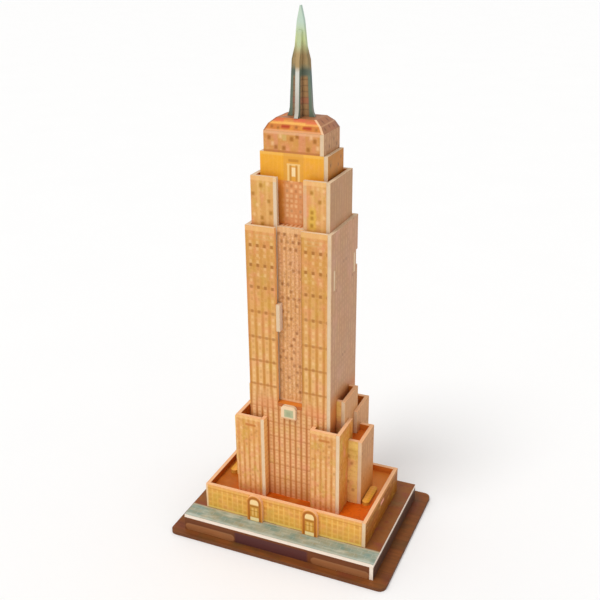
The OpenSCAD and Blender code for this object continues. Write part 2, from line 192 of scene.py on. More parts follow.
class Graph:
    """Builds one material's nodes."""

    def __init__(self, name):
        self.material = bpy.data.materials.new(name)
        self.material.use_nodes = True
        self.tree = self.material.node_tree
        self.nodes = self.tree.nodes
        self.nodes.clear()
        self.output = self.nodes.new("ShaderNodeOutputMaterial")
        coordinates = self.nodes.new("ShaderNodeTexCoord")
        self.place = Value(self, coordinates.outputs["Object"])
        split = self.nodes.new("ShaderNodeSeparateXYZ")
        self.plug(self.place, split.inputs[0])
        self.x = Value(self, split.outputs[0]) / MM
        self.y = Value(self, split.outputs[1]) / MM
        self.z = Value(self, split.outputs[2]) / MM

    def plug(self, value, socket):
        if isinstance(value, Value):
            self.tree.links.new(value.socket, socket)
        else:
            socket.default_value = value

    def math(self, operation, *inputs, clamp=False):
        node = self.nodes.new("ShaderNodeMath")
        node.operation = operation
        node.use_clamp = clamp
        for socket, value in zip(node.inputs, inputs):
            self.plug(value, socket)
        return Value(self, node.outputs[0])

    def mix(self, amount, start, end):
        node = self.nodes.new("ShaderNodeMix")
        node.data_type = "RGBA"
        self.plug(amount, node.inputs["Factor"])
        self.plug(start, node.inputs[6])
        self.plug(end, node.inputs[7])
        return Value(self, node.outputs[2])

    def paper(self, first, second, *shape, **more):
        """Paper in two shades of ink, mixed by a noise of this shape."""
        return self.mix(self.noise(*shape, **more), ink(*first), ink(*second))

    def blend(self, amount, start, end, mode):
        value = self.mix(amount, start, end)
        value.socket.node.blend_type = mode
        return value

    def noise(self, size_mm, detail=3.0, stretch=(1, 1, 1), offset=0.0, roughness=0.5):
        """Soft noise with features of about this size, from 0 to 1."""
        mapping = self.nodes.new("ShaderNodeMapping")
        mapping.inputs["Location"].default_value = (offset, offset, offset)
        mapping.inputs["Scale"].default_value = [1 / (MM * size_mm * s) for s in stretch]
        self.plug(self.place, mapping.inputs["Vector"])
        node = self.nodes.new("ShaderNodeTexNoise")
        node.inputs["Scale"].default_value = 1.0
        node.inputs["Detail"].default_value = detail
        node.inputs["Roughness"].default_value = roughness
        self.tree.links.new(mapping.outputs[0], node.inputs["Vector"])
        return Value(self, node.outputs["Fac"])

    def beads(self, size_mm):
        """Distance inside packed foam beads, from 0 at a bead's middle."""
        mapping = self.nodes.new("ShaderNodeMapping")
        mapping.inputs["Scale"].default_value = [1 / (MM * size_mm)] * 3
        self.plug(self.place, mapping.inputs["Vector"])
        node = self.nodes.new("ShaderNodeTexVoronoi")
        node.inputs["Scale"].default_value = 1.0
        self.tree.links.new(mapping.outputs[0], node.inputs["Vector"])
        return Value(self, node.outputs["Distance"])

    def chance(self, a, b, seed):
        """One random number, from 0 to 1, for each pair of whole numbers."""
        join = self.nodes.new("ShaderNodeCombineXYZ")
        for socket, value in zip(join.inputs, (a, b, float(seed))):
            self.plug(value, socket)
        node = self.nodes.new("ShaderNodeTexWhiteNoise")
        node.noise_dimensions = "3D"
        self.tree.links.new(join.outputs[0], node.inputs["Vector"])
        return Value(self, node.outputs["Value"])

    def finish(self, colour, roughness, bump=None, bump_height=0.05, sheen=0.0, gloss=0.3):
        shader = self.nodes.new("ShaderNodeBsdfPrincipled")
        self.plug(colour, shader.inputs["Base Color"])
        self.plug(roughness, shader.inputs["Roughness"])
        shader.inputs["Specular IOR Level"].default_value = gloss
        if sheen:
            shader.inputs["Coat Weight"].default_value = sheen
            shader.inputs["Coat Roughness"].default_value = COAT_ROUGHNESS
        if bump is not None:
            node = self.nodes.new("ShaderNodeBump")
            node.inputs["Distance"].default_value = bump_height * MM
            node.inputs["Strength"].default_value = BUMP_STRENGTH
            self.plug(bump, node.inputs["Height"])
            self.tree.links.new(node.outputs[0], shader.inputs["Normal"])
        self.tree.links.new(shader.outputs[0], self.output.inputs[0])
        return self.material


def printed(colour, sheen=0.12):
    """Ink on laminated paper: uneven ink, a fine grain, a soft shine and a slight wave."""
    graph = colour.graph
    patches = graph.noise(26, detail=3.0, offset=3.0)
    grain = graph.noise(0.5, detail=1.0, offset=7.0)
    colour = graph.blend((patches - 0.35).clamped() * 0.5, colour, ink(236, 196, 150), "SOFT_LIGHT")
    colour = graph.blend((grain - 0.5).clamped() * 0.5, colour, ink(120, 84, 50), "MULTIPLY")
    wave = graph.noise(9, detail=2.0, offset=1.0) + grain * 0.12
    roughness = graph.noise(14, detail=2.0, offset=5.0) * 0.18 + 0.42
    return graph.finish(colour, roughness, wave, 0.06, sheen, gloss=0.15 + sheen)


# ---- prints ----

SPOT_EDGE = 1.4
BAND_EDGE = 0.8
ROSE = {
    "wall": ink(218, 160, 98), "light": ink(242, 192, 136), "shade": ink(204, 140, 74),
    "window": ink(162, 102, 46), "dark": ink(112, 68, 24), "lit": ink(255, 216, 158),
}
BROWN = {
    "wall": ink(188, 142, 100), "light": ink(204, 160, 116), "shade": ink(172, 124, 84),
    "window": ink(152, 104, 68), "dark": ink(124, 82, 50), "lit": ink(210, 168, 120),
}


def storeys(graph, palette, across, height, pitch, start, floor=4.0, dark_share=0.06, seed=1, glow=0.42):
    """Darker piers with a pale column of small windows between them. Returns the colour."""
    bay, off = across.cells(pitch, start)
    storey, rise = height.cells(floor)
    luck = graph.chance(bay, storey, seed)
    column = off.near(0.0, pitch * 0.27, 0.9)
    glass = off.near(0.0, pitch * 0.19, 0.5) * rise.near(0.0, floor * 0.26, 0.5)
    colour = graph.mix(graph.noise(12, 3.0, (1, 1, 3), seed), palette["wall"], palette["shade"])
    colour = graph.mix(column * 0.6, colour, palette["light"])
    pane = graph.mix(luck.above(0.6), palette["window"], palette["lit"])
    pane = graph.mix(luck.below(dark_share), pane, palette["dark"])
    strength = luck.below(dark_share) * 0.4 + glow
    return graph.mix(glass * strength, colour, pane)


def spots(colour, across, height, places, half, shade, amount=0.8):
    """Small soft windows at the given places."""
    for place in places:
        dot = across.near(place[0], half[0], SPOT_EDGE) * height.near(place[1], half[1], SPOT_EDGE)
        colour = colour.tint(dot * amount, *shade)
    return colour


def mottled(colour, seed, strength=1.0):
    """Soft rosy and olive patches, which the print shows all over the tower."""
    colour = colour.stained((232, 146, 108), 3.0 * strength, 8, 3.0, (1, 1, 1.5), seed)
    colour = colour.stained((206, 166, 64), 3.0 * strength, 8, 3.0, (1, 1, 1.5), seed + 50.0, limit=0.52)
    fine = colour.graph.noise(2.4, offset=seed + 25.0)
    colour = colour.tint((fine - 0.54).clamped() * 1.6 * strength, 250, 200, 146)
    return colour.tint((0.44 - fine).clamped() * 1.6 * strength, 186, 116, 52)


def band(colour, height, row, half, shade, amount):
    """A level band across a face at the given height."""
    return colour.tint(height.near(row, half, BAND_EDGE) * amount, *shade)


def rows_mask(height, rows, half, soft=0.7):
    mask = height.near(rows[0], half, soft)
    for row in rows[1:]:
        mask = mask.larger(height.near(row, half, soft))
    return mask


# Heights over the street board and places on the model, in millimetres
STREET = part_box("street_board")[1][2] / MM
SHAFT_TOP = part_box("shaft_front")[1][2] / MM - STREET
UPPER_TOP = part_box("upper_front")[1][2] / MM - STREET
CROWN_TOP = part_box("crown_right")[1][2] / MM - STREET
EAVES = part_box("hipped_roof")[0][2] / MM - STREET
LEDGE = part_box("tier_plate_low")[1][2] / MM - STREET
BOX_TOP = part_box("annex_right_high")[1][2] / MM - STREET
RECESS = 10.0
POD_LEFT, POD_FRONT = (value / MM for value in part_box("podium_front_wall")[0][:2])
MARKED_ROWS = (114, 134, 153.5, 174, 193.5, 210.5, 225.5)
BAY = 5.6
BAY_START = 11.0
# The left bays are drawn a little closer to the middle than the right ones
LEFT_SHIFT = 1.5
# Middle of the tower, from front to back
TOWER_MIDDLE = 1.0
ARCH_SPRING = 17.0


def gold_face(graph, across, height, seed):
    """The wide bays beside the long recess: dots in the upper rows, lines in the lower ones."""
    bay, off = across.cells(BAY, BAY_START)
    storey, rise = height.cells(4.9)
    luck = graph.chance(bay, storey, seed)
    low = height.rising(205.0, 120.0)
    colour = graph.paper((216, 158, 80), (206, 142, 62), 14, offset=1.0)
    colour = colour.stained((228, 156, 100), 2.4, 24, 2.0, offset=12.0)
    colour = mottled(colour, 71.0, 0.9)
    column = off.near(0.0, 1.5, 0.9)
    colour = colour.tint(column * (low * 0.55 + 0.12), 242, 190, 128)
    pier = off.abs().near(BAY / 2, 0.8, 0.8)
    colour = colour.tint(pier * (low * 0.5 + 0.1), 188, 122, 44)
    pane = off.near(0.0, 0.95, 0.5) * rise.near(0.0, 1.2, 0.6)
    colour = colour.tint(pane * luck.above(0.5) * 0.3, 252, 214, 156)
    colour = colour.tint(pane * luck.below(0.35) * 0.3, 186, 126, 60)
    rows = rows_mask(height, MARKED_ROWS, 1.25)
    dots = off.near(0.0, 1.2, 1.1) * rows
    colour = colour.tint(dots * (0.8 - low * 0.4), 160, 98, 30)
    lines = rows_mask(height, MARKED_ROWS, 0.75)
    colour = colour.tint(lines * low * 0.6, 178, 108, 36)
    # Painted shade: a dark line along both edges of the long recess
    colour = colour.tint(across.rising(RECESS + 1.2, RECESS + 0.2) * 0.6, 156, 98, 48)
    colour = band(colour, height, SHAFT_TOP - 2.0, 1.8, (240, 186, 118), 0.7)
    pale = across.between(13.0, 27.0, 1.5)
    panel = rows_mask(height, (SHAFT_TOP - 6.5, SHAFT_TOP - 9.2), 0.5)
    return colour.tint(pale * panel * 0.4, 214, 176, 110)


def rose_face(graph, across, height, seed):
    """The narrow middle bays: a busy rose and tan weave with staggered dark windows."""
    colour = storeys(graph, ROSE, across, height, RECESS / 3, 0.0, 3.4, 0.0, seed, 0.3)
    colour = colour.stained((224, 160, 122), 1.2, 16, 2.0, (1, 1, 2), seed + 0.5, limit=0.45)
    colour = colour.tint(height.rising(215.0, 255.0) * 0.3, 244, 178, 112)
    colour = colour.stained((176, 110, 64), 2.6, 1.3, 2.0, (1, 1, 1.3), seed + 9.0, limit=0.52)
    colour = colour.stained((252, 204, 168), 3.0, 1.5, 2.0, offset=seed + 19.0, limit=0.54)
    row, rise = height.cells(5.4)
    dot, off = (across + row * 2.2).cells(4.4)
    luck = graph.chance(dot, row, seed)
    mark = off.near(0.0, 1.1, 1.2) * rise.near(0.0, 1.2, 1.2) * luck.below(0.42)
    return colour.tint(mark * (luck * 0.7 + 0.5), 148, 88, 34)


def lower_face(graph, across, height, seed):
    """The tall piers of the lowest storeys."""
    colour = storeys(graph, ROSE, across, height, 4.6, 0.0, 4.4, 0.04, seed)
    colour = mottled(colour.tint(0.25, 206, 134, 66), 75.0)
    off = across.from_cell(4.6)
    column = off.near(0.0, 1.1, 0.8)
    colour = colour.tint(column * 0.5, 248, 196, 142)
    climb = height.from_cell(3.1)
    spandrel = column * climb.abs().near(1.55, 0.45, 0.6)
    colour = colour.tint(spandrel * 0.4, 196, 120, 58)
    pier = off.abs().near(2.3, 0.6, 0.6)
    colour = colour.tint(pier * 0.7, 176, 100, 40)
    lines = rows_mask(height, (95, 83, 70.5, 58, 45.5, 33), 0.6)
    colour = colour.tint(lines * 0.5, 184, 110, 46)
    foot = height.rising(42.0, 17.0)
    return colour.tint(foot * 0.3, 196, 100, 50)


def front_print():
    graph = Graph("print_front")
    middle, height = graph.x.abs(), graph.z - STREET
    across = middle + graph.x.below(0.0) * LEFT_SHIFT
    wide = gold_face(graph, across, height, 2)
    low = lower_face(graph, middle, height, 3)
    colour = graph.mix(height.rising(LEDGE - 8, LEDGE + 14), low, wide)
    blush = height.near(LEDGE - 2.0, 5.0, 4.0) * across.near(20.0, 7.0, 4.0)
    return printed(colour.tint(blush * 0.3, 226, 132, 84))


def upper_print():
    graph = Graph("print_upper")
    across, height = graph.x.abs(), graph.z - STREET
    wide = graph.paper((228, 170, 94), (214, 154, 82), 12, offset=5.0)
    wide = mottled(wide, 91.0, 0.9)
    stripe = across.near(17.3, 1.0, 0.8) + across.near(24.0, 1.0, 0.8)
    wide = wide.tint(stripe * 0.3, 246, 200, 128)
    yellow = graph.x.near(17.0, 2.6, 2.0) * height.near(248.0, 9.0, 6.0)
    wide = wide.tint(yellow * 0.6, 228, 184, 50)
    grey = across.between(RECESS - 0.4, RECESS + 2.6, 0.5) * (graph.x.below(0.0) * 0.5 + 0.3)
    wide = wide.tint(grey, 226, 208, 182)
    dark = (
        (-28.2, 262), (-22.0, 268.5), (-21.4, 245), (-21.2, 240.6), (-16.0, 257.5), (-14.6, 249),
        (16.4, 267), (16.6, 253), (16.6, 249), (16.4, 243.6), (22.4, 261)
    )
    wide = spots(wide, graph.x, height, dark, (1.2, 1.4), (166, 110, 8), 0.75)
    faint = ((-27.5, 247), (-25.0, 254), (20.6, 246), (25.2, 269), (25.4, 250), (-17.0, 270), (21.0, 270))
    wide = spots(wide, graph.x, height, faint, (1.0, 1.2), (250, 208, 150), 0.5)
    wide = band(wide, height, UPPER_TOP - 1.6, 1.6, (246, 194, 128), 0.6)
    middle = rose_face(graph, graph.x, height, 6)
    middle = band(middle, height, SHAFT_TOP - 2, 2.0, (242, 192, 136), 0.5)
    middle = band(middle, height, LEDGE + 1.0, 1.0, (244, 206, 156), 0.7)
    return printed(graph.mix(across.rising(RECESS - 0.1, RECESS + 0.1), middle, wide))


def crown_print():
    graph = Graph("print_crown")
    across, height = graph.x.abs(), graph.z - STREET
    plain = graph.paper((248, 176, 40), (236, 164, 44), 9)
    plain = mottled(plain, 99.0, 0.3)
    off = across.from_cell(3.2, 1.0)
    plain = plain.tint(off.near(0.0, 0.3, 0.3) * 0.2, 250, 190, 80)
    plain = band(plain, height, CROWN_TOP - 1.0, 1.0, (246, 190, 92), 0.6)
    arch = crown_shrine(plain, across, height)
    strip = graph.paper((236, 166, 108), (214, 134, 74), 4, offset=33.0)
    column, aside = graph.x.cells(RECESS / 3)
    row, rise = height.cells(3.6)
    lit = graph.chance(column, row, 8).above(0.25)
    pane = aside.near(0.0, 0.95, 0.9) * rise.near(0.0, 1.1, 0.9)
    strip = strip.tint(pane * (lit * 0.45 + 0.1), 252, 208, 152)
    strip = strip.tint(pane * graph.chance(column, row, 9).below(0.2) * 0.6, 176, 104, 52)
    # Painted warm shade along both sides of the notch, where the upper boards shade the strip
    strip = strip.tint(across.rising(RECESS - 3.6, RECESS - 1.8) * 0.8, 222, 134, 36)
    strip = strip.stained((196, 116, 48), 2.4, 6, offset=43.0)
    colour = graph.mix(height.rising(UPPER_TOP - 3.6, UPPER_TOP - 3.0), strip, arch)
    top = graph.paper((218, 156, 80), (204, 134, 66), 8, 3.0, (1, 1, 2), 4.0)
    rosy = graph.x.near(-13.0, 1.6, 1.2) + graph.x.near(6.5, 2.6, 1.2)
    top = mottled(top.tint(rosy * 0.5, 220, 142, 108), 95.0, 0.8)
    pale = graph.x.near(-6.5, 1.5, 0.8) * height.near(EAVES - 4, 2.0, 1.0)
    top = top.tint(pale * 0.6, 212, 184, 112)
    dark = (
        (-18.0, 301), (-13.0, 294.6), (-7.0, 294.4), (-1.2, 301), (3.0, 303), (11.0, 294.6), (15.8, 300.6)
    )
    top = spots(top, graph.x, height, dark, (1.3, 1.5), (158, 94, 4), 0.8)
    light = ((-15.5, 297), (-9.5, 302.5), (13.2, 303), (18.0, 296))
    top = spots(top, graph.x, height, light, (1.1, 1.4), (252, 210, 160), 0.5)
    top = band(top, height, EAVES - 0.9, 0.9, (240, 184, 140), 0.6)
    top = band(top, height, CROWN_TOP + 0.8, 0.8, (180, 108, 46), 0.7)
    return printed(graph.mix(height.rising(CROWN_TOP - 0.1, CROWN_TOP + 0.1), colour, top))


def crown_shrine(colour, across, height):
    """A small pale porch with a window in it, in the middle of the crown."""
    ground = across.near(0.0, 7.5, 1.2) * 0.45
    colour = colour.tint(ground, 216, 150, 66)
    arc = across.near(0.0, 3.8, 1.0) * height.near(CROWN_TOP - 4.8, 1.0, 0.8)
    colour = colour.tint(arc * 0.6, 180, 112, 20)
    eave = across.near(0.0, 5.0, 0.6) * height.near(CROWN_TOP - 7.8, 0.7, 0.5)
    below = height.rising(CROWN_TOP - 7.6, CROWN_TOP - 8.0)
    posts = across.between(3.1, 4.7, 0.5) * below
    colour = colour.tint(eave.larger(posts) * 0.75, 250, 212, 144)
    shade = across.between(1.5, 3.0, 0.4) * below
    colour = colour.tint(shade * 0.55, 176, 116, 44)
    pane = across.near(0.0, 1.4, 0.4) * height.between(CROWN_TOP - 16.0, CROWN_TOP - 9.6, 0.6)
    return colour.tint(pane * 0.9, 255, 226, 176)


def side_print():
    graph = Graph("print_side")
    depth, height = graph.y - TOWER_MIDDLE, graph.z - STREET
    colour = storeys(graph, BROWN, depth.abs(), height, 4.8, 0.0, 4.4, 0.03, 12)
    colour = colour.tint(graph.noise(22, offset=9.0) * 0.7, 194, 140, 106)
    sandy = (graph.noise(9, 2.0, offset=3.0) - 0.5).clamped()
    colour = colour.tint(sandy, 180, 148, 98)
    colour = colour.stained((206, 150, 126), 2.4, 13, 3.0, (1, 1, 1.6), offset=41.0)
    # Painted warm shade low on the shaft sides, below the tops of the annex boxes
    painted_box_shade = height.rising(BOX_TOP + 10.0, BOX_TOP - 6.0)
    colour = colour.tint(painted_box_shade * 0.8, 200, 116, 44)
    above = height.rising(SHAFT_TOP, SHAFT_TOP + 3.0)
    return printed(colour.tint(above * 0.4, 174, 128, 78), 0.07)


def crown_side_print():
    graph = Graph("print_crown_side")
    height = graph.z - STREET
    low = graph.paper((196, 128, 36), (180, 112, 24), 8)
    low = low.tint(graph.noise(12, 2.0, offset=6.0) * 0.5, 198, 122, 20)
    high = storeys(graph, BROWN, graph.y.abs(), height, 4.4, 0.0, 4.6, 0.1, 14)
    high = high.tint(graph.noise(7, offset=2.0) * 0.6, 186, 124, 82)
    colour = graph.mix(height.rising(CROWN_TOP - 0.1, CROWN_TOP + 0.1), low, high)
    colour = colour.stained((150, 112, 50), 2.2, 6, offset=22.0)
    dark = ((-9.5, 284), (5.5, 281.5), (10.5, 286.0), (-4.0, 296), (4.5, 299.5), (10.0, 295))
    colour = spots(colour, graph.y, height, dark, (0.9, 1.1), (112, 66, 28), 0.7)
    # Painted shadow: darker towards the foot of the crown sides, behind the tops of the upper boards
    shade = height.rising(UPPER_TOP + 5, UPPER_TOP - 1)
    return printed(colour.tint(shade * 0.5, 128, 62, 18), 0.05)


def wing_print():
    """Pale and deep stripes below, a dark slit and small windows near the top."""
    graph = Graph("print_wing")
    across, height = graph.x.abs(), graph.z - STREET
    bay, off = across.cells(4.4, 19.0)
    storey, rise = height.cells(4.6)
    luck = graph.chance(bay, storey, 16)
    colour = graph.paper((226, 166, 92), (214, 146, 70), 10, offset=4.0)
    low = height.rising(74.0, 40.0)
    colour = colour.tint(off.near(0.0, 1.1, 0.8) * (low * 0.4 + 0.25), 248, 196, 136)
    colour = colour.tint(off.abs().near(2.2, 0.6, 0.7) * (low * 0.4 + 0.25), 190, 112, 42)
    pane = off.near(0.0, 0.9, 0.5) * rise.near(0.0, 1.1, 0.6)
    colour = colour.tint(pane * luck.above(0.55) * 0.35, 254, 214, 160)
    colour = colour.tint(pane * luck.below(0.25) * 0.45, 176, 110, 44)
    foot = height.rising(50.0, 17.0)
    colour = colour.tint(foot * 0.3, 216, 130, 78)
    colour = mottled(colour, 61.0)
    slit = height.near(80.0, 1.0, 0.8) * across.near(30.5, 4.6, 1.4)
    colour = colour.tint(slit * 0.8, 192, 112, 40)
    dots = ((26.4, 74), (31.0, 66), (35.6, 76.5), (22.6, 62.5))
    colour = spots(colour, across, height, dots, (0.9, 0.8), (172, 110, 50), 0.45)
    return printed(band(colour, height, 85.6, 1.2, (246, 192, 124), 0.7))


def wing_side_print():
    """Deep amber storeys with a scatter of dark and pale windows, deeper towards the foot."""
    graph = Graph("print_wing_side")
    height = graph.z - STREET
    bay, off = graph.y.abs().cells(3.6, 0.5)
    storey, rise = height.cells(4.4)
    luck = graph.chance(bay, storey, 18)
    colour = graph.paper((216, 148, 58), (204, 132, 46), 9, offset=4.0)
    colour = colour.stained((202, 118, 42), 2.0, 7, offset=14.0)
    pane = off.near(0.0, 0.9, 0.9) * rise.near(0.0, 1.1, 1.0)
    colour = colour.tint(pane * luck.above(0.5) * 0.4, 230, 162, 86)
    colour = colour.tint(pane * luck.below(0.25) * 0.5, 178, 98, 30)
    foot = height.rising(50.0, 17.0)
    colour = colour.tint(foot * 0.5, 200, 104, 30)
    return printed(mottled(colour, 81.0), 0.06)


def annex_print():
    """The front of a side annex: pale tan, golden under the rim, with a few deep marks."""
    graph = Graph("print_annex")
    across, height = graph.x.abs(), graph.z - STREET
    colour = graph.paper((250, 210, 122), (242, 196, 108), 9, offset=5.0)
    rise = height.from_cell(4.6)
    colour = colour.tint(rise.abs().near(2.3, 0.5, 0.6) * 0.3, 214, 148, 72)
    # Painted light: paler towards the foot, where the wing shades the annex front
    colour = colour.tint(height.rising(62.0, 24.0) * 0.7, 255, 214, 132)
    colour = mottled(colour, 83.0)
    colour = colour.tint(height.near(69.0, 3.0, 3.0) * 0.5, 255, 220, 126)
    marks = ((43.4, 59.0), (46.0, 53.0), (43.0, 36.0), (47.5, 29.0))
    return printed(spots(colour, across, height, marks, (1.2, 1.4), (178, 110, 44), 0.6))


def outer_print():
    """The outermost faces of the annexes: rose-brown above, warmer below."""
    graph = Graph("print_outer")
    height = graph.z - STREET
    colour = storeys(graph, BROWN, graph.y.abs(), height, 4.6, 0.5, 5.0, 0.04, 19)
    colour = colour.tint(0.3, 214, 136, 44)
    # Painted warm shade: darker and warmer towards the foot
    colour = colour.tint(height.rising(62.0, 24.0) * 0.6, 202, 118, 24)
    return printed(colour.tint(height.rising(64.0, 82.0) * 0.4, 216, 158, 104), 0.05)


def centre_print():
    """The bright faces of the corner wings that look towards the middle of the model."""
    graph = Graph("print_centre")
    height = graph.z - STREET
    colour = graph.paper((255, 208, 136), (250, 186, 108), 8)
    rise = height.from_cell(4.4)
    colour = colour.tint(rise.abs().near(2.2, 0.4, 0.5) * 0.35, 192, 116, 54)
    return printed(colour.tint(height.rising(40.0, 17.0) * 0.4, 216, 130, 62), 0.05)


def plain_print(name, first, second, size_mm):
    """Plain paper, for the hidden frame and for the faces inside the hollow boxes."""
    return printed(Graph(name).paper(first, second, size_mm), 0.05)


def step_print():
    """The upper cover of the inner frame: tan, with pale squares along its front."""
    graph = Graph("print_step")
    off = graph.x.from_cell(3.2)
    colour = graph.paper((206, 132, 68), (188, 108, 44), 6)
    return printed(colour.tint(off.near(0.0, 0.9, 0.7) * 0.6, 246, 204, 160), 0.05)


def podium_print():
    """Rows of deep gold panels in a bright lattice."""
    graph = Graph("print_podium")
    across, height = graph.x, graph.z - STREET
    colour = graph.paper((246, 184, 86), (234, 166, 70), 11)
    panel, off = across.cells(4.5, 0.6)
    row, rise = height.cells(4.7, 0.8)
    luck = graph.chance(panel, row, 21)
    inset = off.near(0.0, 1.4, 0.9) * rise.near(0.0, 1.3, 0.9)
    colour = colour.tint(inset * (luck * 0.45 + 0.1), 200, 126, 34)
    mullion = off.abs().near(2.25, 0.35, 0.6)
    colour = colour.tint(mullion * 0.45, 252, 216, 124)
    sill = rise.abs().near(2.35, 0.3, 0.6)
    colour = colour.tint(sill * 0.3, 250, 208, 112)
    colour = colour.tint(height.rising(12.0, 2.0) * 0.35, 228, 190, 84)
    colour = colour.stained((212, 170, 68), 2.6, 9, offset=15.0)
    colour = mottled(colour, 103.0, 0.5)
    colour = band(colour, height, 21.2, 1.0, (240, 172, 100), 0.7)
    colour = band(colour, height, 18.6, 0.5, (204, 128, 46), 0.6)
    colour = band(colour, height, 0.9, 0.9, (240, 212, 116), 0.7)
    corner = across.rising(POD_LEFT + 2.0, POD_LEFT + 1.2)
    return printed(colour.tint(corner * 0.8, 244, 208, 172))


def podium_side_print():
    graph = Graph("print_podium_side")
    depth, height = graph.y, graph.z - STREET
    colour = graph.paper((172, 100, 14), (144, 78, 4), 10)
    colour = colour.stained((160, 124, 34), 1.6, 16, 2.0, offset=8.0, limit=0.45)
    off = depth.from_cell(4.5, 0.6)
    rise = height.from_cell(4.7, 0.8)
    pane = off.near(0.0, 1.5, 0.6) * rise.near(0.0, 1.4, 0.6)
    colour = colour.tint(pane * 0.4, 128, 70, 14)
    colour = colour.stained((206, 146, 66), 3.0, 6, 3.0, (1, 1, 0.7), offset=27.0, limit=0.52)
    return printed(band(colour, height, 20.4, 1.4, (204, 136, 66), 0.7), 0.03)


def roof_print():
    graph = Graph("print_roof")
    colour = graph.paper((226, 98, 0), (204, 96, 14), 18, 4.0, offset=2.0)
    colour = colour.stained((158, 64, 10), 1.8, 2.2, 2.0, offset=4.0)
    colour = colour.tint(graph.x.rising(-34.0, -52.0) * 0.8, 172, 98, 24)
    rear = graph.x.rising(38.0, 54.0) * graph.y.rising(-12.0, 12.0)
    colour = colour.tint(rear * 0.7, 236, 156, 66)
    # Painted shadow of the shaft, on the roof just in front of it
    front = graph.x.near(0.0, 20.0, 4.0) * graph.y.near(-34.0, 7.0, 3.0)
    colour = colour.tint(front * 0.6, 156, 72, 6)
    return printed(colour.stained((206, 130, 50), 2.4, 13, 2.0, offset=14.0), 0.04)


# Outline of the hipped roof from the front: half its width at the eaves, and its two slopes inwards
HIP_HALF = 22.5
HIP_BREAK = 4.76
HIP_LOWER_SLOPE = 0.6
HIP_UPPER_SLOPE = 1.243


def hip_print():
    """Front slope of the roof: golden courses with red accents and a pale seam on the right."""
    graph = Graph("print_hip")
    across, rise = graph.x, graph.z - STREET - EAVES
    colour = graph.paper((222, 138, 58), (200, 114, 42), 6)
    colour = colour.stained((246, 176, 50), 3.0, 3.5, 3.0, (2.2, 1, 1), offset=13.0)
    colour = colour.tint(rise.near(5.6, 0.8, 0.8) * 0.7, 252, 190, 84)
    colour = colour.tint(rise.near(8.0, 0.7, 0.8) * 0.7, 190, 90, 40)
    colour = colour.tint(rise.near(0.6, 0.7, 0.6) * 0.7, 232, 168, 120)
    red = ((-6.2, 3.4), (9.6, 3.2))
    colour = spots(colour, across, rise, red, (3.2, 1.0), (180, 50, 4), 0.9)
    rosy = ((12.0, 6.4), (-12.6, 7.0), (3.0, 7.4))
    colour = spots(colour, across, rise, rosy, (4.2, 0.9), (220, 92, 56), 0.75)
    dots = ((1.8, 3.4), (16.6, 2.6), (-11.6, 2.4), (-16.4, 3.0))
    colour = spots(colour, across, rise, dots, (1.0, 0.9), (150, 90, 24), 0.75)
    lower, upper = rise.smaller(HIP_BREAK), (rise - HIP_BREAK).larger(0.0)
    hip_x = HIP_HALF - lower * HIP_LOWER_SLOPE - upper * HIP_UPPER_SLOPE
    seam = across.rising(hip_x - 2.0, hip_x - 1.4)
    colour = colour.tint(seam * 0.8, 242, 204, 164)
    fold = (across + hip_x).rising(1.6, 0.6)
    return printed(colour.tint(fold * 0.7, 140, 78, 40))


def hip_side_print():
    graph = Graph("print_hip_side")
    rise = graph.z - STREET - EAVES
    colour = graph.paper((182, 124, 84), (162, 100, 66), 6)
    colour = colour.stained((170, 122, 70), 2.4, 4, offset=9.0)
    dots = ((-8.0, 2.6), (0.4, 3.2), (7.6, 2.2), (-3.6, 6.6), (5.2, 6.8))
    colour = spots(colour, graph.y, rise, dots, (1.0, 0.9), (112, 62, 38), 0.7)
    colour = colour.tint(graph.y.rising(9.0, 14.0) * 0.5, 126, 78, 74)
    return printed(colour.tint(rise.near(4.8, 0.35, 0.4) * 0.5, 216, 168, 126))


def street_print():
    """Mottled blue-grey slabs along the front and dark paving everywhere else."""
    graph = Graph("print_street")
    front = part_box("street_board")[0][1] / MM
    row, along = graph.y.cells(4.2, front - 1.2)
    slab, across = (graph.x + row * 4.1).cells(8.4)
    luck = graph.chance(slab, row, 31)
    tone = graph.noise(7, offset=26.0) * 0.7 + luck * 0.3
    pave = graph.mix(tone, ink(116, 148, 140), ink(184, 178, 152))
    pave = pave.stained((100, 140, 136), 2.6, 6, 3.0, (1.6, 1, 1), offset=6.0, limit=0.45)
    pave = pave.stained((160, 146, 108), 2.4, 5, offset=16.0)
    pave = pave.stained((206, 210, 194), 3.0, 5, 3.0, (2.4, 0.8, 1), offset=36.0, limit=0.54)
    joint = across.abs().near(4.2, 0.25, 0.4).larger(along.abs().near(2.1, 0.2, 0.4))
    pave = pave.tint(joint * 0.3, 200, 206, 194)
    # Painted highlight along the front edge of the pavement
    pave = pave.tint(graph.y.near(front + 1.4, 0.9, 0.8) * 0.55, 200, 212, 204)
    dark = graph.paper((158, 98, 44), (130, 76, 36), 20, 4.0, offset=8.0)
    dark = dark.stained((136, 64, 56), 3.0, 9, offset=18.0)
    dark = dark.stained((128, 104, 66), 2.4, 12, offset=28.0)
    dark = dark.stained((92, 52, 22), 1.0, 3, 2.0)
    kerb = graph.y.near(POD_FRONT - 1.2, 0.7, 0.6)
    edge = graph.y.rising(POD_FRONT - 1.4, POD_FRONT + 0.4)
    colour = graph.mix(edge, pave, dark)
    return printed(colour.tint(kerb * 0.5, 204, 190, 154), 0.05)


def base_print():
    """Dark grained wood on the bottom board."""
    graph = Graph("print_base")
    grain = graph.noise(3.4, 4.0, (14, 1, 1), offset=2.0, roughness=0.65)
    tone = graph.noise(26, 2.0, (3, 1, 1), offset=5.0)
    colour = graph.mix(tone, ink(150, 88, 34), ink(116, 66, 34))
    colour = colour.stained((118, 54, 44), 3.0, 22, 2.0, offset=15.0)
    colour = colour.stained((92, 74, 40), 3.0, 18, 2.0, offset=25.0, limit=0.52)
    return printed(colour.tint((grain - 0.42).clamped() * 1.8, 78, 44, 18), 0.04)


